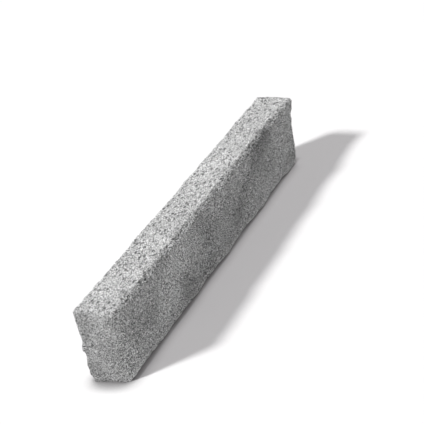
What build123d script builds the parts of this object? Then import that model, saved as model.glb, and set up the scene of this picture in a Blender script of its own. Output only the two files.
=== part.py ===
"""Rough-hewn edging block: one long, narrow piece of stock with rolling faces and nicked arrises.

Sizes are in millimetres and +Z is up. X runs along the block, with its near end at -X. Y runs
across it, with its front at -Y and its back at +Y. The origin is the middle of the flat base.
"""

import os
from math import cos, pi, sin, sqrt

from build123d import *

os.makedirs("parts", exist_ok=True)

# Overall size, to the flat faces that the hewn ones roll about
length = 1000.0
width = 96.0
height = 180.0

# Waste that is split off the blank on every side but its base
waste = 30.0

# Spacing of the points that a hewn face is drawn through, and the closeness of the fit
grid_step = 20.0
end_grid_step = 12.0
fit_tolerance = 0.4

# Rolling of the front, as a slanting swell and a shorter ripple that crosses it
front_swell = 1.6
front_swell_length = 230.0
front_swell_slant = 0.55
front_ripple = 0.7
front_ripple_length = 84.0

# Rolling of the back
back_swell = 0.9
back_swell_length = 270.0
back_swell_slant = -0.6
back_ripple = 0.6
back_ripple_length = 96.0

# Rolling of the top
top_swell = 0.6
top_swell_length = 310.0
top_swell_slant = 0.8
top_ripple = 0.4
top_ripple_length = 72.0

# Rolling of the two ends
end_swell = 1.4
end_swell_length = 120.0
end_swell_slant = 0.4
end_ripple = 0.5
end_ripple_length = 52.0

# How far the corners of each end stand beyond a square end: top back, top front, foot back, foot front
near_end_corners = (6.0, 0.0, 6.0, -2.0)
far_end_corners = (7.0, 12.0, 0.0, -16.0)

# How far the back stands proud at the top of its near corner, where the block ends in a point
near_point = 1.0
near_point_sharpness = 4

# Round wear of the near front corner: how far in along the end it starts, and how deep it gets
near_corner_reach = 34.0
near_corner_depth = 17.0

# Wear of the other soft edges: leg of the bevel it leaves at the start and at the end of the edge,
# and the phase at which the leg starts to rise and fall along it
front_top_wear = (12.0, 12.0, 3.1)
front_foot_wear = (5.0, 13.0, 1.9)
back_foot_wear = (6.0, 6.0, 3.1)
near_top_wear = (3.0, 9.0, 4.2)
wear_unevenness = 0.3
wear_wave_length = 190.0

# Nicks along the back top arris: share of the half length, chord and depth of each
back_top_nicks = [
    (-0.85, 54.0, 3.0),
    (-0.77, 28.0, 1.6),
    (-0.66, 46.0, 1.6),
    (-0.60, 40.0, 2.2),
    (-0.52, 38.0, 2.2),
    (-0.46, 26.0, 1.4),
    (-0.20, 76.0, 2.6),
    (-0.04, 92.0, 3.4),
    (0.17, 96.0, 5.0),
    (0.32, 78.0, 2.4),
    (0.53, 68.0, 2.2),
    (0.64, 70.0, 3.4),
    (0.79, 64.0, 3.2),
    (0.93, 60.0, 3.4),
]

# Nicks up the near back arris: share of the height, chord and depth of each
near_back_nicks = [
    (0.86, 40.0, 1.5),
    (0.64, 58.0, 4.4),
    (0.35, 44.0, 4.2),
    (0.13, 36.0, 2.4),
    (0.00, 44.0, 9.0),
]

# Nicks up the far front arris: share of the height, chord and depth of each
far_front_nicks = [
    (0.75, 34.0, 12.0),
    (0.46, 130.0, 9.5),
    (0.25, 20.0, 5.0),
]

# Nicks of the other arrises, which follow one another at an uneven pitch
nick_pitch = 62.0
nick_unevenness = 0.35
nick_place_turn = 2.4
nick_size_turn = 3.9
nick_chord = 40.0
nick_depth = 2.0


def rolling(swell, swell_length, slant, ripple, ripple_length, phase):
    """Height of a rolling surface over a flat one, as a function of the places along and up it."""

    def height_at(along, up):
        long_wave = swell * sin(2 * pi * (along - slant * up) / swell_length + phase)
        cross_wave = sin(2 * pi * (along + up) / ripple_length + 3 * phase)
        up_wave = cos(2 * pi * up / ripple_length + phase)
        return long_wave + ripple * cross_wave * up_wave

    return height_at


def twisted(corners, along, up):
    """Stand-off of an end whose corners stand beyond the square end by different amounts.

    The places are shares from -0.5 to 0.5, across the end from front to back and up it.
    """
    top_back, top_front, foot_back, foot_front = corners
    at_top = top_front + (top_back - top_front) * (along + 0.5)
    at_foot = foot_front + (foot_back - foot_front) * (along + 0.5)
    return at_foot + (at_top - at_foot) * (up + 0.5)


front_waves = rolling(
    front_swell, front_swell_length, front_swell_slant, front_ripple, front_ripple_length, phase=0.4
)
back_waves = rolling(
    back_swell, back_swell_length, back_swell_slant, back_ripple, back_ripple_length, phase=2.9
)
top_waves = rolling(top_swell, top_swell_length, top_swell_slant, top_ripple, top_ripple_length, phase=1.2)
near_waves = rolling(end_swell, end_swell_length, end_swell_slant, end_ripple, end_ripple_length, phase=0.9)
far_waves = rolling(end_swell, end_swell_length, end_swell_slant, end_ripple, end_ripple_length, phase=3.6)


def back_relief(along, up):
    """Relief of the back, with the point at the top of its near corner."""
    near_share = max(0.0, along / length) * 2
    top_share = up / height + 0.5
    return back_waves(along, up) + near_point * near_share**near_point_sharpness * top_share


def near_relief(along, up):
    """Relief of the near end, out of square, and worn round where it meets the front."""
    worn_in = max(0.0, 1 - (width / 2 - along) / near_corner_reach)
    stand_off = twisted(near_end_corners, -along / width, up / height)
    return near_waves(along, up) + stand_off - near_corner_depth * worn_in**2


def far_relief(along, up):
    """Relief of the far end, out of square."""
    return far_waves(along, up) + twisted(far_end_corners, along / width, up / height)


# Sides of the block: the plane that each rolls about, its normal outwards, and its relief
top = (Plane((0, 0, height), x_dir=(1, 0, 0), z_dir=(0, 0, 1)), top_waves)
front = (Plane((0, -width / 2, height / 2), x_dir=(1, 0, 0), z_dir=(0, -1, 0)), front_waves)
back = (Plane((0, width / 2, height / 2), x_dir=(-1, 0, 0), z_dir=(0, 1, 0)), back_relief)
near = (Plane((-length / 2, 0, height / 2), x_dir=(0, -1, 0), z_dir=(-1, 0, 0)), near_relief)
far = (Plane((length / 2, 0, height / 2), x_dir=(0, 1, 0), z_dir=(1, 0, 0)), far_relief)
foot = (Plane((0, 0, 0), x_dir=(1, 0, 0), z_dir=(0, 0, -1)), lambda along, up: 0.0)


def corner(end, side, level):
    """Corner of the square block at one end (-1 near, 1 far), side (-1 front, 1 back) and height."""
    return Vector(end * length / 2, side * width / 2, level)


def on_arris(square_place, *sides):
    """Place on the real arris nearest to one on the square arris, and the way out of the block there."""
    place = square_place
    outward = Vector()
    for plane, relief in sides:
        flat_place = plane.to_local_coords(square_place)
        place += plane.z_dir * relief(flat_place.X, flat_place.Y)
        outward += plane.z_dir
    return place, outward.normalized()


def hewn_face(plane, run, rise, relief, step):
    """Face drawn through a grid of points that stand off a plane by the relief at each place."""
    columns = round((run + 2 * waste) / step)
    rows = round((rise + 2 * waste) / step)
    points = []
    for column in range(columns + 1):
        along = (run / 2 + waste) * (2 * column / columns - 1)
        ups = [(rise / 2 + waste) * (2 * row / rows - 1) for row in range(rows + 1)]
        points.append([plane.from_local_coords(Vector(along, up, relief(along, up))) for up in ups])
    return Face.make_surface_from_array_of_points(points, tol=fit_tolerance)


def worn_face(start, end, *sides, wear):
    """Uneven bevel along an arris, ruled between two curves that follow the real arris."""
    start_leg, end_leg, phase = wear
    run = end - start
    stations = round((run.length + 2 * waste) / grid_step)
    upper_points = []
    lower_points = []
    for station in range(stations + 1):
        share = (station / stations * (run.length + 2 * waste) - waste) / run.length
        place, outward = on_arris(start + run * share, *sides)
        leg = start_leg + (end_leg - start_leg) * share
        leg *= 1 + wear_unevenness * sin(2 * pi * share * run.length / wear_wave_length + phase)
        middle = place - outward * (leg / sqrt(2))
        across = outward.cross(run.normalized()) * waste
        upper_points.append(middle + across)
        lower_points.append(middle - across)
    return Face.make_surface_from_curves(Edge.make_spline(upper_points), Edge.make_spline(lower_points))


def nick(place, outward, chord, depth):
    """Shell-shaped nick: a ball that takes this depth off an arris over this chord of it."""
    radius = (chord**2 / 4 + depth**2) / (2 * depth)
    with Locations(place + outward * (radius - depth)):
        Sphere(radius, mode=Mode.SUBTRACT)


def nick_row(start, end, *sides, phase, leg=0.0):
    """Nicks at an uneven pitch along an arris, from one corner of the square block to another.

    On a soft edge they start from its bevel, which has this leg.
    """
    run = end - start
    count = round(run.length / nick_pitch)
    for number in range(count):
        sway = nick_unevenness * sin(nick_place_turn * number + phase)
        size = 1 + nick_unevenness * cos(nick_size_turn * number + phase)
        place, outward = on_arris(start + run * ((number + 0.5 + sway) / count), *sides)
        nick(place - outward * (leg / sqrt(2)), outward, nick_chord * size, nick_depth * size)


with BuildPart() as block:
    # Blank with its base sawn flat and waste left on the other five sides
    Box(
        length + waste,
        width + waste,
        height + waste / 2,
        align=(Align.CENTER, Align.CENTER, Align.MIN),
    )
    # Five hewn faces
    split(bisect_by=hewn_face(top[0], length, width, top[1], grid_step), keep=Keep.BOTTOM)
    for plane, relief in (front, back):
        split(bisect_by=hewn_face(plane, length, height, relief, grid_step), keep=Keep.BOTTOM)
    for plane, relief in (near, far):
        split(bisect_by=hewn_face(plane, width, height, relief, end_grid_step), keep=Keep.BOTTOM)

    # Soft edges, worn to uneven bevels
    for start, end, sides, wear in (
        (corner(-1, -1, height), corner(1, -1, height), (top, front), front_top_wear),
        (corner(1, -1, 0), corner(-1, -1, 0), (foot, front), front_foot_wear),
        (corner(-1, 1, 0), corner(1, 1, 0), (foot, back), back_foot_wear),
        (corner(-1, 1, height), corner(-1, -1, height), (top, near), near_top_wear),
    ):
        outward = (sides[0][0].z_dir + sides[1][0].z_dir).normalized()
        extrude(worn_face(start, end, *sides, wear=wear), amount=waste, dir=outward, mode=Mode.SUBTRACT)
    # Nicks that the eye follows along the back top arris and up two corners
    for share, chord, depth in back_top_nicks:
        nick(*on_arris(Vector(share * length / 2, width / 2, height), top, back), chord, depth)
    for share, chord, depth in near_back_nicks:
        nick(*on_arris(Vector(-length / 2, width / 2, share * height), near, back), chord, depth)
    for share, chord, depth in far_front_nicks:
        nick(*on_arris(Vector(length / 2, -width / 2, share * height), far, front), chord, depth)
    # Rows of nicks along the other arrises
    nick_row(corner(-1, -1, height), corner(1, -1, height), top, front, phase=0.7, leg=front_top_wear[1])
    nick_row(corner(-1, -1, 0), corner(1, -1, 0), foot, front, phase=2.1, leg=front_foot_wear[0])
    nick_row(corner(-1, 1, 0), corner(1, 1, 0), foot, back, phase=4.4, leg=back_foot_wear[1])
    nick_row(corner(1, 1, 0), corner(1, 1, height), far, back, phase=1.5)
    nick_row(corner(1, -1, height), corner(1, 1, height), far, top, phase=3.3)
    nick_row(corner(1, -1, 0), corner(1, 1, 0), far, foot, phase=5.2)
    nick_row(corner(-1, -1, 0), corner(-1, 1, 0), near, foot, phase=0.2)

block.part.label = "block"
export_step(block.part, "parts/block.step")
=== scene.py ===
"""Rough-hewn grey edging block: its relief, its stone and the small studio it stands in.

Everything is in metres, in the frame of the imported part: +X runs along the block from its near end
to its far end, +Y from its front to its back, and +Z up from the floor.
"""

import logging
import math
from dataclasses import dataclass
from enum import Enum
from typing import Any, Mapping, TypeAlias

import bmesh
import bpy
import numpy as np
from mathutils import Matrix, Vector, noise


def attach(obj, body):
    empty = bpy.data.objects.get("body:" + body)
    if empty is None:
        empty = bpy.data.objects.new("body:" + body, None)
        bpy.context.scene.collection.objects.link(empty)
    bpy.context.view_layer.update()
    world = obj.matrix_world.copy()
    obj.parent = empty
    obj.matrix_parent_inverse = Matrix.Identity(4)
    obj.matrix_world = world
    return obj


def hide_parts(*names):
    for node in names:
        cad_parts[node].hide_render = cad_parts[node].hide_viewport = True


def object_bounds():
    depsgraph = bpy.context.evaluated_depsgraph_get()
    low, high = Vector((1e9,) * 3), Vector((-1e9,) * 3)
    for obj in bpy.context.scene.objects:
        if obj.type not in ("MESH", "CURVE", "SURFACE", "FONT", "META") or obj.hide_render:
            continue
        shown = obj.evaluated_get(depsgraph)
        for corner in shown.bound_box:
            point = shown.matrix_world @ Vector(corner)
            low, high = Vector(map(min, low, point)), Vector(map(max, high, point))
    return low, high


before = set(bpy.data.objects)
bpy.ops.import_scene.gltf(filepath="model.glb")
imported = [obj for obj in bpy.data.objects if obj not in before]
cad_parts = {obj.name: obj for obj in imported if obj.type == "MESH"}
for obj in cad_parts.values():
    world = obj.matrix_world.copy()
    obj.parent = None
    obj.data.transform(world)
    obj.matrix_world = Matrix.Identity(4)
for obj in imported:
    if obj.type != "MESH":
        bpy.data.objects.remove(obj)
cad_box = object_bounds()

log = logging.getLogger("edging_block")

MM = 0.001
WHITE = (1.0, 1.0, 1.0, 1.0)

Point: TypeAlias = tuple[float, float, float]
Colour: TypeAlias = tuple[float, float, float]
Number: TypeAlias = "Signal | float"


# Shader graphs

class Signal:
    """A socket's value inside a shader; sums, products and the like of it add Math nodes."""

    def __init__(self, graph: "Graph", socket: bpy.types.NodeSocket) -> None:
        """Wrap a socket.

        Args:
            graph: The graph that new nodes go into.
            socket: The output whose value this stands for.
        """
        self.graph = graph
        self.socket = socket

    def __add__(self, other: Number) -> "Signal":
        """Sum of the two."""
        return self.graph.math("ADD", self, other)

    def __sub__(self, other: Number) -> "Signal":
        """This less the other."""
        return self.graph.math("SUBTRACT", self, other)

    def __rsub__(self, other: Number) -> "Signal":
        """The other less this."""
        return self.graph.math("SUBTRACT", other, self)

    def __mul__(self, other: Number) -> "Signal":
        """Product of the two."""
        return self.graph.math("MULTIPLY", self, other)

    __radd__ = __add__
    __rmul__ = __mul__

    def clipped(self) -> "Signal":
        """This, kept from 0 to 1."""
        return self.graph.math("ADD", self, 0.0, clip=True)

    def larger(self, other: Number) -> "Signal":
        """The larger of the two."""
        return self.graph.math("MAXIMUM", self, other)

    def rise(self, start: float, end: float) -> "Signal":
        """Smooth step from 0 to 1 over a range of this value.

        Args:
            start: Value at and before which the step is 0.
            end: Value at and after which the step is 1; it may be the smaller of the two.

        Returns:
            The step.
        """
        low, high = min(start, end), max(start, end)
        step = self.graph.add(
            "ShaderNodeMapRange",
            {"interpolation_type": "SMOOTHSTEP"},
            {"Value": self, "From Min": low, "From Max": high},
        )["Result"]
        return step if start < end else 1.0 - step


class Outputs:
    """The outputs of one node, by name."""

    def __init__(self, graph: "Graph", node: bpy.types.Node) -> None:
        """Wrap a node.

        Args:
            graph: The graph that the node is in.
            node: The node.
        """
        self.graph = graph
        self.node = node

    def __getitem__(self, name: str) -> Signal:
        """The output of that name that is in use."""
        found = [s for s in self.node.outputs if s.name == name and s.enabled]
        return Signal(self.graph, found[0])


class Graph:
    """The nodes of one material or world."""

    def __init__(self, owner: bpy.types.Material | bpy.types.World) -> None:
        """Empty the owner's nodes and start anew.

        Args:
            owner: The material or world.
        """
        owner.use_nodes = True
        self.tree = owner.node_tree
        self.tree.nodes.clear()

    def add(
        self,
        kind: str,
        settings: Mapping[str, Any] | None = None,
        values: Mapping[str | int, Any] | None = None,
    ) -> Outputs:
        """Add a node.

        Args:
            kind: The node's type.
            settings: Its own settings, such as its operation, which are set first.
            values: Values or signals for its inputs, by name; a name may be an input's number.

        Returns:
            Its outputs.
        """
        node = self.tree.nodes.new(kind)
        for name, setting in (settings or {}).items():
            setattr(node, name, setting)
        for name, value in (values or {}).items():
            if isinstance(name, int):
                socket = node.inputs[name]
            else:
                socket = next(s for s in node.inputs if s.name == name and s.enabled)
            if isinstance(value, Signal):
                self.tree.links.new(value.socket, socket)
            else:
                socket.default_value = value
        return Outputs(self, node)

    def math(self, operation: str, a: Number, b: Number, clip: bool = False) -> Signal:
        """One Math node on two values.

        Args:
            operation: What it does.
            a: First value.
            b: Second value.
            clip: Whether the result is kept from 0 to 1.

        Returns:
            Its result.
        """
        settings = {"operation": operation, "use_clamp": clip}
        return self.add("ShaderNodeMath", settings, {0: a, 1: b})["Value"]

    def vector_math(
        self, operation: str, values: Mapping[str | int, Any], output: str = "Vector"
    ) -> Signal:
        """One Vector Math node.

        Args:
            operation: What it does.
            values: Its inputs, by number or name.
            output: "Vector" for a place or a way, "Value" for a length or a share.

        Returns:
            Its result.
        """
        return self.add("ShaderNodeVectorMath", {"operation": operation}, values)[output]

    def shift(self, place: Signal, offset: Point) -> Signal:
        """A place moved by a fixed offset."""
        return self.vector_math("ADD", {0: place, 1: offset})

    def stretch(self, place: Signal, shares: Point) -> Signal:
        """A place with each axis multiplied by its share; below 1, a pattern there is drawn out."""
        return self.vector_math("MULTIPLY", {0: place, 1: shares})

    def wander(self, place: Signal, size: float, amount: float) -> Signal:
        """A place pushed about by soft noise, so that what is drawn there has ragged borders.

        Args:
            place: Where on the stone.
            size: Width of the noise.
            amount: How far from end to end it pushes.

        Returns:
            The pushed place.
        """
        values = {"Vector": place, "Scale": 1.0 / size, "Detail": 2.0}
        drift = self.add("ShaderNodeTexNoise", {"noise_dimensions": "3D"}, values)["Color"]
        centred = self.shift(drift, (-0.5, -0.5, -0.5))
        return self.vector_math("MULTIPLY_ADD", {0: centred, 1: (amount,) * 3, 2: place})

    def clouds(self, place: Signal, size: float, detail: float, rough: float) -> Signal:
        """Soft noise from 0 to 1 about 0.5.

        Args:
            place: Where on the stone.
            size: Width of its largest patches.
            detail: How many finer layers it has.
            rough: How strong the finer layers are.

        Returns:
            The noise.
        """
        values = {"Vector": place, "Scale": 1.0 / size, "Detail": detail, "Roughness": rough}
        return self.add("ShaderNodeTexNoise", {"noise_dimensions": "3D"}, values)["Fac"]

    def cells(self, place: Signal, size: float) -> Outputs:
        """Cells about points strewn at random.

        Args:
            place: Where on the stone.
            size: Usual width of a cell.

        Returns:
            The node's outputs: "Distance" from the point, and the cell's own random "Color".
        """
        values = {"Vector": place, "Scale": 1.0 / size}
        return self.add("ShaderNodeTexVoronoi", {"voronoi_dimensions": "3D"}, values)

    def red(self, colour: Signal) -> Signal:
        """The red share of a colour; that of a cell's own colour is its random number."""
        return self.add("ShaderNodeSeparateColor", {"mode": "RGB"}, {"Color": colour})["Red"]

    def facing(self, axis: str) -> Signal:
        """How far the surface faces along an axis, from -1 to 1."""
        normal = self.add("ShaderNodeNewGeometry")["Normal"]
        return self.add("ShaderNodeSeparateXYZ", {}, {"Vector": normal})[axis]

    def blend(self, share: Number, a: Any, b: Any) -> Signal:
        """Colour between two colours.

        Args:
            share: How much of the second one shows, from 0 to 1.
            a: First colour, or a grey signal.
            b: Second colour, or a grey signal.

        Returns:
            The colour.
        """
        settings = {"data_type": "RGBA", "blend_type": "MIX"}
        return self.add("ShaderNodeMix", settings, {"Factor": share, "A": a, "B": b})["Result"]

    def grey(self, tone: Signal) -> Signal:
        """A tone as a neutral colour."""
        shares = {"Red": tone, "Green": tone, "Blue": tone}
        return self.add("ShaderNodeCombineColor", {"mode": "RGB"}, shares)["Color"]

    def shown_to_camera(self) -> Signal:
        """1 for rays from the camera and those that mirror or pass the background on, else 0."""
        path = self.add("ShaderNodeLightPath")
        mirrored, passed = path["Is Glossy Ray"], path["Is Transmission Ray"]
        return path["Is Camera Ray"].larger(mirrored).larger(passed)


# Tone marks

# The planes that the marks are drawn on, in millimetres. All but the near end's stand clear of the
# stone, so that their marks lie on it softly.
FRONT_PLANE = -70
BACK_PLANE = 70
TOP_PLANE = 200
NEAR_PLANE = -505
FAR_PLANE = 520


def front(x: float, z: float) -> Point:
    """A place before the block's front, from its run and height in millimetres."""
    return (x * MM, FRONT_PLANE * MM, z * MM)


def back(x: float, z: float) -> Point:
    """A place behind the block's back, from its run and height in millimetres."""
    return (x * MM, BACK_PLANE * MM, z * MM)


def top(x: float, y: float) -> Point:
    """A place above the block's top, from its run and side in millimetres."""
    return (x * MM, y * MM, TOP_PLANE * MM)


def near_end(y: float, z: float) -> Point:
    """A place on the block's near end, from its side and height in millimetres."""
    return (NEAR_PLANE * MM, y * MM, z * MM)


def far_end(y: float, z: float) -> Point:
    """A place beyond the block's far end, from its side and height in millimetres."""
    return (FAR_PLANE * MM, y * MM, z * MM)


# A tone mark draws clouds of the stone, and also painted light and painted shade.
@dataclass(frozen=True)
class ToneMark:
    """A broad pale or dark cloud on the stone, drawn out along a line.

    Attributes:
        start: One end of the line.
        end: The other end of it.
        reach: How far from the line it fades out.
        shade: Change of tone on the line, as a share of the tone; less than 0 for a dark cloud.
    """

    start: Point
    end: Point
    reach: float
    shade: float

    def strength(self, graph: Graph, place: Signal) -> Signal:
        """How strongly the mark shows: 1 on its line, 0 beyond its reach.

        Args:
            graph: The material's graph.
            place: Where on the stone.

        Returns:
            Its strength.
        """
        line = Vector(self.end) - Vector(self.start)
        from_start = graph.shift(place, tuple(-c for c in self.start))
        unit = tuple(line / line.length_squared)
        share = graph.vector_math("DOT_PRODUCT", {0: from_start, 1: unit}, "Value").clipped()
        nearest = graph.vector_math("SCALE", {0: tuple(line), "Scale": share})
        away = graph.vector_math("DISTANCE", {0: from_start, 1: nearest}, "Value")
        return away.rise(self.reach, 0.0)


# Placed one by one: those of the front, the near end and the top where the photograph shows them,
# and those of the back and the far end made up in the same manner. The one along the front's foot
# keeps the foot from looking darker than it is beside the floor's close shade.
STONE_CLOUDS_AND_PAINTED_LIGHT = (
    # Painted light and painted shade on the front: its pale and dark bands stand for the light and
    # shade of its broad waves.
    ToneMark(front(-205, 150), front(-300, 85), 70 * MM, 0.45),
    ToneMark(front(-275, 45), front(-370, 12), 60 * MM, 0.9),
    ToneMark(front(390, 25), front(280, 20), 60 * MM, 0.65),
    ToneMark(front(430, 60), front(400, 95), 45 * MM, 0.25),
    ToneMark(front(290, 20), front(200, 35), 50 * MM, 0.3),
    ToneMark(front(-445, 105), front(-360, 95), 60 * MM, -0.36),
    ToneMark(front(-100, 160), front(-50, 95), 55 * MM, -0.35),
    ToneMark(front(-215, 65), front(-190, 45), 55 * MM, -0.35),
    ToneMark(front(-150, 15), front(-70, 20), 50 * MM, -0.35),
    ToneMark(front(315, 165), front(250, 155), 70 * MM, -0.62),
    ToneMark(front(302, 98), front(250, 108), 50 * MM, -0.36),
    ToneMark(front(85, 57), front(130, 60), 42 * MM, -0.42),
    ToneMark(front(-85, 72), front(-80, 62), 42 * MM, -0.25),
    ToneMark(front(-70, 105), front(50, 115), 60 * MM, -0.25),
    ToneMark(front(-337, 150), front(-333, 148), 45 * MM, -0.2),
    ToneMark(front(180, 170), front(182, 165), 42 * MM, -0.35),
    ToneMark(front(200, 115), front(95, 75), 60 * MM, -0.42),
    # Painted light: a pale strip along the front's foot that offsets the shade falling there.
    ToneMark(front(-500, -12), front(500, -12), 46 * MM, 3.2),
    # Painted shade along the top of the front.
    ToneMark(front(-430, 165), front(470, 165), 65 * MM, -0.09),
    # Painted shade in the near end's low back corner.
    ToneMark(near_end(46, 30), near_end(32, 0), 56 * MM, -0.36),
    ToneMark(near_end(15, 115), near_end(0, 80), 50 * MM, -0.2),
    # Painted light: a pale strip down the near end's rounded front corner, which its lamp leaves in
    # shade.
    ToneMark(near_end(-34, 130), near_end(-34, 30), 24 * MM, 0.3),
    # Painted shade of the nicks in the top's front arris.
    ToneMark(top(-186, -50), top(-180, -50), 42 * MM, -0.75),
    ToneMark(top(316, -50), top(320, -50), 40 * MM, -0.65),
    ToneMark(top(118, -50), top(125, -50), 40 * MM, -0.5),
    ToneMark(top(-437, -50), top(-430, -50), 40 * MM, -0.4),
    ToneMark(top(80, 28), top(180, -8), 55 * MM, 0.3),
    ToneMark(top(238, -45), top(262, -45), 38 * MM, 0.6),
    ToneMark(top(-130, -20), top(-140, -15), 40 * MM, -0.2),
    ToneMark(top(-265, -45), top(-262, -45), 35 * MM, 0.3),
    ToneMark(top(-205, 25), top(-225, -10), 40 * MM, 0.25),
    ToneMark(back(-330, 60), back(-250, 120), 75 * MM, -0.3),
    ToneMark(back(40, 50), back(150, 70), 75 * MM, 0.3),
    ToneMark(back(290, 140), back(370, 80), 75 * MM, -0.3),
    ToneMark(far_end(10, 60), far_end(-10, 110), 55 * MM, -0.25),
)


# The stone

# The mesh's attribute that says how deep in a pit each point lies, from 0 to 1; the stone's painted
# pit shade is drawn by it.
HOLLOW = "hollow"

# Where each layer of the stone is taken from in its noise, so that no two of them match.
FLECK_OFFSET = (0.31, 0.17, 0.53)
FINE_FLECK_OFFSET = (0.9, 0.4, 0.1)
WEATHER_OFFSET = (0.7, 0.2, 0.4)

# Mean of the square of a number that is even from 0 to 1, and of one that keeps near 0.5 as noise
# does: taken off a square, they leave the mean tone as it is.
EVEN_SQUARE = 0.333
NOISE_SQUARE = 0.26


def upward(graph: Graph) -> Signal:
    """1 where the surface faces up, 0 on the sides."""
    return graph.facing("Z").rise(start=0.2, end=0.8)


def frontward(graph: Graph) -> Signal:
    """1 where the surface faces the front, 0 on the top, the ends and the back."""
    return graph.facing("Y").rise(start=-0.3, end=-0.85)


@dataclass(frozen=True)
class Speckle:
    """The dark and pale grain of the stone.

    Attributes:
        crystal: Height of a crystal.
        crystal_contrast: How strongly the crystals differ in tone.
        grain: Height of the finest grain.
        grain_contrast: How strongly the grain differs in tone.
        on_sides: How much stronger both are on the sides than on the top.
        on_front: How much stronger still they are on the front, partly as painted light and shade of
            its fine relief.
    """

    crystal: float = 1.5 * MM
    crystal_contrast: float = 0.7
    grain: float = 1.55 * MM
    grain_contrast: float = 5.5
    on_sides: float = 0.25
    on_front: float = 0.85

    def crystals(self, graph: Graph, place: Signal) -> Signal:
        """A random number from 0 to 1 for each crystal; their borders are ragged."""
        ragged = graph.wander(place, self.grain, self.grain)
        return graph.red(graph.cells(ragged, self.crystal)["Color"])

    def grains(self, graph: Graph, place: Signal) -> Signal:
        """Noise of the grain, from 0 to 1 about 0.5."""
        return graph.clouds(place, self.grain, detail=1.5, rough=0.7)

    def darkness(self, graph: Graph, crystals: Signal, grain: Signal) -> Signal:
        """How much darker than the mean the stone is, as a share of its tone; few places are dark.

        Args:
            graph: The material's graph.
            crystals: The crystals' random numbers.
            grain: Noise of the grain.

        Returns:
            The share, less than 0 where the stone is pale.
        """
        dark_crystals = (1.0 - crystals) * (1.0 - crystals) - EVEN_SQUARE
        dark_grain = (1.0 - grain) * (1.0 - grain) - NOISE_SQUARE
        sideways = 1.0 - upward(graph)
        # On the front, the stronger grain is partly painted light and shade of its fine relief.
        rough = 1.0 + self.on_sides * sideways + self.on_front * frontward(graph)
        return (self.crystal_contrast * dark_crystals + self.grain_contrast * dark_grain) * rough


@dataclass(frozen=True)
class Flecks:
    """Small dark flecks and pinholes strewn over the stone.

    Attributes:
        spacing: Distance from one large fleck up to the next.
        fine_spacing: The same for the small ones, as a share of it.
        fine_strength: Strength of the small ones, as a share of that of the large ones.
        run: Share that the noise's run is pressed to, which draws them out along the block.
        border: Width of the raggedness of their borders, in grains.
        core: How far from its middle a fleck keeps its strength, as a share of the spacing.
        rim: How far from its middle it ends.
        faintest: Strength of the faintest, as a share of the strongest.
        on_sides: Strength on the sides, as a share of that on the top.
        darkness: Share of the tone that the strongest take away: partly dark grains, partly painted
            shade in their pinholes.
    """

    spacing: float = 7.0 * MM
    fine_spacing: float = 0.45
    fine_strength: float = 0.8
    run: float = 0.75
    border: float = 2.0
    core: float = 0.24
    rim: float = 0.36
    faintest: float = 0.5
    on_sides: float = 0.4
    darkness: float = 0.8

    def strength(self, graph: Graph, place: Signal, grain: float) -> Signal:
        """1 in the strongest flecks of the top, 0 between them.

        Args:
            graph: The material's graph.
            place: Where on the stone.
            grain: Height of the grain, which makes their borders ragged.

        Returns:
            Their strength.
        """
        drawn_out = graph.stretch(graph.shift(place, FLECK_OFFSET), (self.run, 1.0, 1.0))
        ragged = graph.wander(drawn_out, grain * self.border, grain)
        large = self._spots(graph, ragged, self.spacing)
        apart = graph.shift(ragged, FINE_FLECK_OFFSET)
        small = self._spots(graph, apart, self.spacing * self.fine_spacing)
        # Weaker on the sides: the painted shade of the pinholes is strongest on the top.
        kept = self.on_sides + (1.0 - self.on_sides) * upward(graph)
        return large.larger(self.fine_strength * small) * kept

    def _spots(self, graph: Graph, place: Signal, spacing: float) -> Signal:
        """Small spots of uneven strength.

        Args:
            graph: The material's graph.
            place: Where on the stone.
            spacing: Usual distance from one to the next.

        Returns:
            1 in the strongest spots, 0 between them.
        """
        found = graph.cells(place, spacing)
        uneven = self.faintest + (1.0 - self.faintest) * graph.red(found["Color"])
        return found["Distance"].rise(start=self.rim, end=self.core) * uneven


@dataclass(frozen=True)
class FineRelief:
    """Relief of the stone that is too fine for its mesh.

    Attributes:
        strength: How strongly it tilts the surface, from 0 to 1.
        depth: Rise of the surface for a height of 1.
        grain: Height of the grain.
        crystals: Height of the crystals.
        flecks: How deep the flecks are sunk.
    """

    strength: float = 0.9
    depth: float = 0.9 * MM
    grain: float = 0.55
    crystals: float = 0.3
    flecks: float = 0.5

    def normal(self, graph: Graph, grain: Signal, crystals: Signal, flecks: Signal) -> Signal:
        """Way that the surface faces, with this relief on it.

        Args:
            graph: The material's graph.
            grain: Noise of the grain.
            crystals: The crystals' random numbers.
            flecks: Strength of the flecks.

        Returns:
            The way.
        """
        height = grain * self.grain + crystals * self.crystals - flecks * self.flecks
        values = {"Strength": self.strength, "Distance": self.depth, "Height": height}
        return graph.add("ShaderNodeBump", {}, values)["Normal"]


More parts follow.
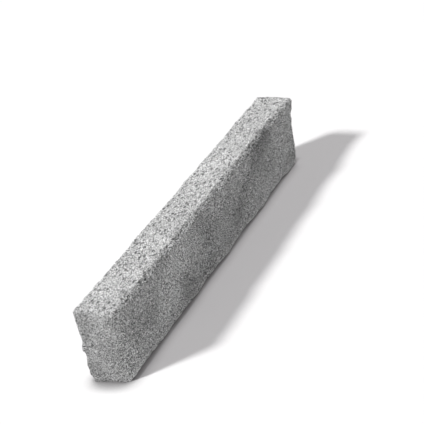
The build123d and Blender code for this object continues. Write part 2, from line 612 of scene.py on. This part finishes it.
@dataclass(frozen=True)
class GraniteFinish:
    """Grey granite, hewn and left rough: speckled, matt and finely pitted.

    Attributes:
        name: Name of the material.
        tone: Tone of the stone, as a share of white.
        level: Share of it that is left on average, before the flecks and marks.
        bedding: How flat the grain lies: the share of its run and of its width that is its height.
        speckle: Its dark and pale grain.
        flecks: Its dark flecks.
        relief: Its finest relief.
        weather: Width of its weathered patches.
        weathering: How strongly they differ in tone.
        painted_pit_shade: Share of the tone that is lost at the bottom of a pit, as painted shade.
        marks: Broad pale and dark places: clouds of the stone, painted light and painted shade.
        mark_border: Width of the raggedness of their borders.
        mark_drift: How far the borders wander, from end to end.
        matt: Roughness of the surface before its grain.
        grain_matt: What the grain adds to that.
        gloss: Strength of its highlights.
    """

    name: str = "granite_grey"
    tone: float = 0.47
    level: float = 0.98
    bedding: Point = (0.55, 0.75, 1.0)
    speckle: Speckle = Speckle()
    flecks: Flecks = Flecks()
    relief: FineRelief = FineRelief()
    weather: float = 80 * MM
    weathering: float = 0.4
    painted_pit_shade: float = 0.35
    marks: tuple[ToneMark, ...] = STONE_CLOUDS_AND_PAINTED_LIGHT
    mark_border: float = 30 * MM
    mark_drift: float = 28 * MM
    matt: float = 0.78
    grain_matt: float = 0.2
    gloss: float = 0.3

    def material(self) -> bpy.types.Material:
        """The finish as a material.

        Returns:
            The material, with its colour, roughness and fine relief.
        """
        made = bpy.data.materials.new(self.name)
        made.diffuse_color = (self.tone, self.tone, self.tone, 1.0)
        graph = Graph(made)
        place = graph.add("ShaderNodeTexCoord")["Object"]
        bedded = graph.stretch(place, self.bedding)
        grain = self.speckle.grains(graph, bedded)
        crystals = self.speckle.crystals(graph, bedded)
        flecks = self.flecks.strength(graph, bedded, self.speckle.grain)
        speckle = self.speckle.darkness(graph, crystals, grain)
        values = {
            "Base Color": graph.grey(self._tone(graph, place, speckle, flecks)),
            "Roughness": self.matt + grain * self.grain_matt,
            "Specular IOR Level": self.gloss,
            "Normal": self.relief.normal(graph, grain, crystals, flecks),
        }
        shader = graph.add("ShaderNodeBsdfPrincipled", {}, values)["BSDF"]
        graph.add("ShaderNodeOutputMaterial", {}, {"Surface": shader})
        return made

    def _tone(self, graph: Graph, place: Signal, speckle: Signal, flecks: Signal) -> Signal:
        """Tone of the stone at each place.

        Args:
            graph: The material's graph.
            place: Where on the stone.
            speckle: How much darker than the mean its grain is.
            flecks: Strength of its flecks.

        Returns:
            The tone, as a share of white.
        """
        apart = graph.shift(place, WEATHER_OFFSET)
        weather = graph.clouds(apart, self.weather, detail=3.0, rough=0.65)
        tone = self.tone * (self.level - speckle + self.weathering * (weather - 0.5))
        tone = tone * (1.0 - self.flecks.darkness * flecks)
        # Painted shade at the bottom of the pits.
        hollow = graph.add("ShaderNodeAttribute", {"attribute_name": HOLLOW})["Fac"]
        tone = tone * (1.0 - self.painted_pit_shade * hollow)
        # The marks: painted light and painted shade on the front, the near end and the top's front
        # arris, besides clouds of the stone.
        ragged = graph.wander(place, self.mark_border, self.mark_drift)
        for mark in self.marks:
            tone = tone * (1.0 + mark.shade * mark.strength(graph, ragged))
        return tone.clipped()


# The hewn surface

# How much weaker and how much smaller each layer of a relief is than the one before it.
LAYER_FALL = 1.0
LAYER_STEP = 2.0

# Spreads the middles of the pits in the noise, so that each has a chance of its own.
PIT_SCATTER = 7.3


@dataclass(frozen=True)
class Relief:
    """One layer of the hewn surface.

    Attributes:
        size: Width of its forms.
        depth: How far it rises and falls about the surface.
        layers: How many finer layers it carries.
        offset: Where in the noise it is taken from, so that no two layers match.
    """

    size: float
    depth: float
    layers: int
    offset: Point

    def heights(self, points: np.ndarray) -> np.ndarray:
        """Rise at each point, about 0.

        Args:
            points: One row for each point.

        Returns:
            One height for each point.
        """
        scaled = points / self.size + np.array(self.offset)
        raw = [noise.fractal(Vector(p), LAYER_FALL, LAYER_STEP, self.layers) for p in scaled]
        return self.depth * np.array(raw)


@dataclass(frozen=True)
class Pits:
    """Small round-bottomed pits strewn over the surface.

    Attributes:
        spacing: Usual distance from one to the next.
        radius: Radius of the largest.
        depth: Depth of the deepest.
        share: How many of the places hold a pit, from 0 to 1.
        offset: Where in the noise they are taken from.
        smallest: Size of the smallest, as a share of the largest.
    """

    spacing: float
    radius: float
    depth: float
    share: float
    offset: Point
    smallest: float = 0.5

    def depths(self, points: np.ndarray) -> np.ndarray:
        """Depth of the pits at each point, 0 between them.

        Args:
            points: One row for each point.

        Returns:
            One depth for each point.
        """
        scaled = points / self.spacing + np.array(self.offset)
        found = np.zeros(len(points))
        for i, p in enumerate(scaled):
            distances, centres = noise.voronoi(Vector(p))
            chance = noise.cell(centres[0] * PIT_SCATTER)
            if chance < self.share:
                size = self.smallest + (1.0 - self.smallest) * chance / self.share
                reach = distances[0] * self.spacing / (self.radius * size)
                found[i] = size * max(0.0, 1.0 - reach * reach)
        return self.depth * found


@dataclass(frozen=True)
class Spur:
    """A small spur that stands out from an arris, or a notch in it.

    Attributes:
        place: Where it is.
        reach: How far from there it dies out.
        rise: How far it stands out; less than 0 for a notch.
    """

    place: Point
    reach: float
    rise: float

    def heights(self, points: np.ndarray) -> np.ndarray:
        """Rise at each point, 0 beyond its reach.

        Args:
            points: One row for each point.

        Returns:
            One height for each point.
        """
        away = np.linalg.norm(points - np.array(self.place), axis=1)
        return self.rise * np.clip(1.0 - away / self.reach, 0.0, 1.0)


# Two spurs of the near end's back arris, the notch in the far end's front arris, and the slight
# lift of the far end's top.
ARRIS_SPURS = (
    Spur((-498 * MM, 46 * MM, 84 * MM), 12 * MM, 11 * MM),
    Spur((-500 * MM, 46 * MM, 122 * MM), 20 * MM, 3.5 * MM),
    Spur((506 * MM, -46 * MM, 138 * MM), 15 * MM, -8 * MM),
    Spur((508 * MM, 10 * MM, 180 * MM), 60 * MM, 5 * MM),
)


class Skin:
    """The points of a mesh with their neighbours, to be worked on all at once."""

    def __init__(self, mesh: bpy.types.Mesh) -> None:
        """Read a mesh.

        Args:
            mesh: The mesh.
        """
        self.mesh = mesh
        self.count = len(mesh.vertices)
        ends = np.zeros(len(mesh.edges) * 2, dtype=np.int64)
        mesh.edges.foreach_get("vertices", ends)
        self.ends = ends.reshape(-1, 2)
        self.neighbours = np.bincount(self.ends.ravel(), minlength=self.count)

    def read(self, name: str) -> np.ndarray:
        """One row for each point: its place ("co") or its outward way ("normal")."""
        flat = np.zeros(self.count * 3)
        self.mesh.vertices.foreach_get(name, flat)
        return flat.reshape(-1, 3)

    def place(self, points: np.ndarray) -> None:
        """Move the mesh's points to these places."""
        self.mesh.vertices.foreach_set("co", points.ravel())
        self.mesh.update()

    def spread(self, values: np.ndarray, rounds: int) -> np.ndarray:
        """Average each point's value with its neighbours' a number of times.

        Args:
            values: One value, or one row of them, for each point.
            rounds: How many times.

        Returns:
            The smoothed values.
        """
        columns = values.reshape(self.count, -1).T.copy()
        one, other = self.ends.T
        for _ in range(rounds):
            for i, column in enumerate(columns):
                total = column.copy()
                total += np.bincount(one, column[other], self.count)
                total += np.bincount(other, column[one], self.count)
                columns[i] = total / (self.neighbours + 1)
        return columns.T.reshape(values.shape)


def as_share(values: np.ndarray) -> np.ndarray:
    """The values, kept from 0 to 1."""
    return np.clip(values, 0.0, 1.0)


@dataclass
class HewnBlock:
    """The block: one piece of stone, hewn on its sides and worn along its arrises.

    Attributes:
        node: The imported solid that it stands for.
        voxel: Width of the mesh's facets.
        weld: Distance below which two points of the solid's mesh are one.
        hackle: The broad relief that the tools have left.
        chatter: The medium relief on the hackle.
        chips: Flakes lost along the arrises.
        pits: The pits.
        soft_rounds: How far the worn front arrises are rounded, in steps of one facet.
        crown: How far their rounding stands out from the solid's flat wear.
        back_crown: The share of that which the top arrises at the back and at the far end have.
        spurs: Spurs and notches of the arrises.
        band: Width of the band over which the rounding dies out.
        side_end: How far from its face the rounding has died out, in bands.
        top_end: How far below the top that at the back and the far end has died out, in bands.
        arris_rounds: How far from an arris its wear reaches, in steps of one facet.
        chip_turn: Turn of the surface, 0 on a level face, from which an arris chips in full.
        crown_turn: Turn of the surface from which the crown is full.
        foot_band: Height over which the relief dies out towards the foot.
        finish: The stone.
        piece: The block's piece, once it is built.
    """

    node: bpy.types.Object
    voxel: float = 2.5 * MM
    weld: float = 0.01 * MM
    hackle: Relief = Relief(30 * MM, 0.6 * MM, 2, (3.1, 7.7, 1.9))
    chatter: Relief = Relief(9 * MM, 0.45 * MM, 2, (11.3, 2.7, 5.9))
    chips: Relief = Relief(9 * MM, 2.8 * MM, 2, (1.7, 9.1, 4.3))
    pits: Pits = Pits(8 * MM, 4.0 * MM, 1.3 * MM, 0.6, (0.4, 0.9, 0.2))
    soft_rounds: int = 3
    crown: float = 3.0 * MM
    back_crown: float = 0.8
    spurs: tuple[Spur, ...] = ARRIS_SPURS
    band: float = 30.0 * MM
    side_end: float = 1.5
    top_end: float = 2.0
    arris_rounds: int = 5
    chip_turn: float = 0.12
    crown_turn: float = 0.2
    foot_band: float = 10.0 * MM
    finish: GraniteFinish = GraniteFinish()
    piece: bpy.types.Object | None = None

    def build(self) -> bpy.types.Object:
        """Make the block's mesh, carve its relief, and hang it on the part's body.

        Returns:
            The finished piece.
        """
        self.piece = self._fine_copy()
        self._carve()
        self._dress()
        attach(self.piece, "root")
        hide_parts("block")
        return self.piece

    def _fine_copy(self) -> bpy.types.Object:
        """A copy of the solid with small even facets.

        Returns:
            The copy, as an object of its own.
        """
        plain = self.node.data.copy()
        shape = bmesh.new()
        shape.from_mesh(plain)
        bmesh.ops.remove_doubles(shape, verts=shape.verts, dist=self.weld)
        shape.to_mesh(plain)
        shape.free()
        holder = bpy.data.objects.new("block_blank", plain)
        bpy.context.scene.collection.objects.link(holder)
        remesh = holder.modifiers.new("facets", "REMESH")
        remesh.mode = "VOXEL"
        remesh.voxel_size = self.voxel
        remesh.use_smooth_shade = True
        graph = bpy.context.evaluated_depsgraph_get()
        fine = bpy.data.meshes.new_from_object(holder.evaluated_get(graph))
        bpy.data.objects.remove(holder)
        bpy.data.meshes.remove(plain)
        fine.name = "hewn_block"
        fine.materials.clear()
        piece = bpy.data.objects.new("hewn_block", fine)
        bpy.context.scene.collection.objects.link(piece)
        return piece

    def _carve(self) -> None:
        """Round and chip the arrises, and work the faces, inside the solid's own box."""
        skin = Skin(self.piece.data)
        points = skin.read("co")
        beside = self._beside_front(points)
        points += beside[:, None] * (skin.spread(points, self.soft_rounds) - points)
        skin.place(points)
        normals = skin.read("normal")
        turned = 1.0 - np.abs(normals).max(axis=1)
        turned = skin.spread(turned, self.arris_rounds)
        rounded = np.maximum(beside, self.back_crown * self._behind(points))
        crowned = self.crown * rounded * as_share(turned / self.crown_turn)
        chips = np.maximum(0.0, self.chips.heights(points))
        chipped = chips * as_share(turned / self.chip_turn)
        pitted = self.pits.depths(points)
        rise = self.hackle.heights(points) + self.chatter.heights(points)
        rise = rise - pitted - chipped + crowned
        rise += sum(spur.heights(points) for spur in self.spurs)
        standing = as_share(points[:, 2] / self.foot_band)
        low, high = (np.array(corner) for corner in cad_box)
        skin.place(np.clip(points + normals * (rise * standing)[:, None], low, high))
        # Depth in the pits, kept for the stone's painted pit shade.
        hollow = skin.mesh.attributes.new(HOLLOW, "FLOAT", "POINT")
        hollow.data.foreach_set("value", (pitted / self.pits.depth).astype(np.float32))
        skin.mesh.shade_smooth()

    def _beside_front(self, points: np.ndarray) -> np.ndarray:
        """How near each point is to the block's front, dying out towards its ends and its foot.

        Args:
            points: One row for each point.

        Returns:
            One share for each point, from 0 to 1.
        """
        low, high = (np.array(corner) for corner in cad_box)
        from_front = points[:, 1] - low[1]
        from_end = np.minimum(points[:, 0] - low[0], high[0] - points[:, 0])
        inside = np.minimum(from_end, points[:, 2])
        beside = as_share(self.side_end - from_front / self.band)
        return beside * as_share(inside / self.band)

    def _behind(self, points: np.ndarray) -> np.ndarray:
        """How near each point is to the top of the block's back or of its far end.

        Args:
            points: One row for each point.

        Returns:
            One share for each point, from 0 to 1.
        """
        high = np.array(cad_box[1])
        from_face = np.minimum(high[1] - points[:, 1], high[0] - points[:, 0])
        below = high[2] - points[:, 2]
        behind = as_share(self.side_end - from_face / self.band)
        return behind * as_share(self.top_end - below / self.band)

    def _dress(self) -> None:
        """Give the block its stone."""
        self.piece.data.materials.append(self.finish.material())


# The studio

class Falls(Enum):
    """What a lamp falls on."""

    STONE = "stone"
    FLOOR = "floor"


@dataclass(frozen=True)
class Sun:
    """A far lamp.

    Attributes:
        name: Its name.
        way: The way that its light travels.
        level: How bright white stone is that faces it, as a share of white.
        spread: Its width as seen from the block, in degrees.
        falls: What it falls on.
        distance: How far from the block it hangs, which its light doesn't depend on.
    """

    name: str
    way: Point
    level: float
    spread: float
    falls: Falls
    distance: float = 3.0

    def hang(self, lit_by: Mapping[Falls, bpy.types.Object]) -> bpy.types.Object:
        """Make the lamp.

        Args:
            lit_by: The object that each choice of what a lamp falls on stands for.

        Returns:
            The lamp.
        """
        light = bpy.data.lights.new(self.name, "SUN")
        light.energy = self.level * math.pi
        light.angle = math.radians(self.spread)
        lamp = bpy.data.objects.new(self.name, light)
        bpy.context.scene.collection.objects.link(lamp)
        lamp.rotation_euler = Vector(self.way).to_track_quat("-Z", "Y").to_euler()
        lamp.location = -Vector(self.way).normalized() * self.distance
        lit = bpy.data.collections.new(self.name + "_lit")
        lit.objects.link(lit_by[self.falls])
        lamp.light_linking.receiver_collection = lit
        return lamp


@dataclass(frozen=True)
class PaleFloorFinish:
    """Matt pale floor that looks white to the camera and keeps the block's shadow.

    Attributes:
        name: Name of the material.
        tone: Its own tone as the camera sees it.
        bounce_tone: Its tone for the light that it throws back.
        lift: What is added to its tone where the camera sees it.
        shade: Colour of the light that fills the cast shadow.
        foot_reach: How far from the block's foot the painted close shade reaches.
        foot_lean: The way from which the light that the close shade lacks comes.
        foot_tone: What the close shade leaves of the floor's tone.
        foot_closed: Share of that light that is left where the close shade is full.
        foot_open: Share of it from which there is no close shade.
        foot_samples: How many rays find that share.
    """

    name: str = "pale_floor"
    tone: float = 0.55
    bounce_tone: float = 0.5
    lift: float = 0.174
    shade: Colour = (0.995, 0.935, 0.965)
    foot_reach: float = 46 * MM
    foot_lean: Point = (0.707, 0.0, 0.707)
    foot_tone: float = 0.32
    foot_closed: float = 0.27
    foot_open: float = 0.91
    foot_samples: int = 16

    def material(self) -> bpy.types.Material:
        """The finish as a material.

        Returns:
            The material.
        """
        made = bpy.data.materials.new(self.name)
        graph = Graph(made)
        shown = graph.shown_to_camera()
        kept = self._kept_at_foot(graph)
        thrown = (self.bounce_tone,) * 3 + (1.0,)
        colour = graph.blend(shown, thrown, graph.grey(kept * self.tone))
        matt = graph.add("ShaderNodeBsdfDiffuse", {}, {"Color": colour})["BSDF"]
        glow = {"Color": self.shade + (1.0,), "Strength": shown * kept * self.lift}
        lift = graph.add("ShaderNodeEmission", {}, glow)["Emission"]
        both = graph.add("ShaderNodeAddShader", {}, {0: matt, 1: lift})["Shader"]
        graph.add("ShaderNodeOutputMaterial", {}, {"Surface": both})
        return made

    def _kept_at_foot(self, graph: Graph) -> Signal:
        """What the close shade at the block's foot leaves of the floor's tone.

        Args:
            graph: The material's graph.

        Returns:
            The share that it leaves, 1 away from the foot.
        """
        # Painted shade: the floor's tone darkens near the block's foot, as far as the block hides
        # it.
        lean = graph.add("ShaderNodeCombineXYZ", {}, dict(zip("XYZ", self.foot_lean)))["Vector"]
        near = {"Distance": self.foot_reach, "Normal": lean}
        settings = {"samples": self.foot_samples}
        open_share = graph.add("ShaderNodeAmbientOcclusion", settings, near)["AO"]
        free = open_share.rise(start=self.foot_closed, end=self.foot_open)
        return self.foot_tone + (1.0 - self.foot_tone) * free


@dataclass(frozen=True)
class Studio:
    """A pale floor under soft plain light.

    Attributes:
        reach: Half the floor's width.
        floor_finish: The floor's finish.
        sky: How bright the light from all round is.
        suns: The lamps.
    """

    reach: float = 30.0
    floor_finish: PaleFloorFinish = PaleFloorFinish()
    sky: float = 0.242
    suns: tuple[Sun, ...] = (
        Sun("overhead", (0.24, -0.46, -0.855), 1.18, 14.0, Falls.STONE),
        Sun("low_side", (0.59, -0.48, -0.65), 1.56, 8.0, Falls.FLOOR),
        Sun("ceiling", (0.0, 0.0, -1.0), 0.295, 4.0, Falls.FLOOR),
    )

    def build(self, stone: bpy.types.Object) -> bpy.types.Object:
        """Make the floor, the light from all round and the lamps.

        Args:
            stone: The piece that stands on the floor.

        Returns:
            The floor.
        """
        floor = self._floor()
        self._surround()
        for sun in self.suns:
            sun.hang({Falls.STONE: stone, Falls.FLOOR: floor})
        return floor

    def _floor(self) -> bpy.types.Object:
        """The floor, level with the block's foot.

        Returns:
            The floor.
        """
        mesh = bpy.data.meshes.new("studio_floor")
        corners = ((-1, -1), (1, -1), (1, 1), (-1, 1))
        points = [(x * self.reach, y * self.reach, 0.0) for x, y in corners]
        mesh.from_pydata(points, [], [(0, 1, 2, 3)])
        floor = bpy.data.objects.new("studio_floor", mesh)
        bpy.context.scene.collection.objects.link(floor)
        mesh.materials.append(self.floor_finish.material())
        return floor

    def _surround(self) -> None:
        """White to the camera, and a plain soft light for everything else."""
        world = bpy.data.worlds.new("studio")
        graph = Graph(world)
        strength = self.sky + graph.shown_to_camera() * (1.0 - self.sky)
        values = {"Color": WHITE, "Strength": strength}
        background = graph.add("ShaderNodeBackground", {}, values)["Background"]
        graph.add("ShaderNodeOutputWorld", {}, {"Surface": background})
        bpy.context.scene.world = world


@dataclass(frozen=True)
class PhotoCamera:
    """The camera, set up as the photograph was taken.

    Attributes:
        eye: Where it stands.
        target: What it looks at.
        roll: How far it leans, in degrees.
        lens: Focal length in millimetres, for a sensor 36 mm wide.
        sight: How far it sees.
    """

    eye: Point = (-2.1654, -1.2256, 1.4806)
    target: Point = (0.0564, -0.0010, 0.0900)
    roll: float = -10.48
    lens: float = 101.887
    sight: float = 200.0

    def build(self) -> bpy.types.Object:
        """Make the camera and look through it.

        Returns:
            The camera.
        """
        data = bpy.data.cameras.new("photo_camera")
        data.lens = self.lens
        data.clip_end = self.sight
        camera = bpy.data.objects.new("photo_camera", data)
        bpy.context.scene.collection.objects.link(camera)
        ahead = Vector(self.target) - Vector(self.eye)
        level = ahead.to_track_quat("-Z", "Y").to_matrix()
        leaning = level @ Matrix.Rotation(math.radians(self.roll), 3, "Z")
        camera.matrix_world = Matrix.Translation(self.eye) @ leaning.to_4x4()
        bpy.context.scene.camera = camera
        return camera


def main() -> None:
    """Build the camera, the block and the studio, and say what was made."""
    logging.basicConfig(level=logging.INFO, format="%(name)s: %(message)s")
    bpy.context.scene.view_settings.view_transform = "Standard"
    camera = PhotoCamera().build()
    log.info("%s: %.0f mm lens", camera.name, camera.data.lens)
    piece = HewnBlock(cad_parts["block"]).build()
    triangles = sum(len(face.vertices) - 2 for face in piece.data.polygons)
    log.info("%s: %d triangles", piece.name, triangles)
    floor = Studio().build(piece)
    log.info("%s: %.0f m wide", floor.name, floor.dimensions.x)


if __name__ == "__main__":
    main()
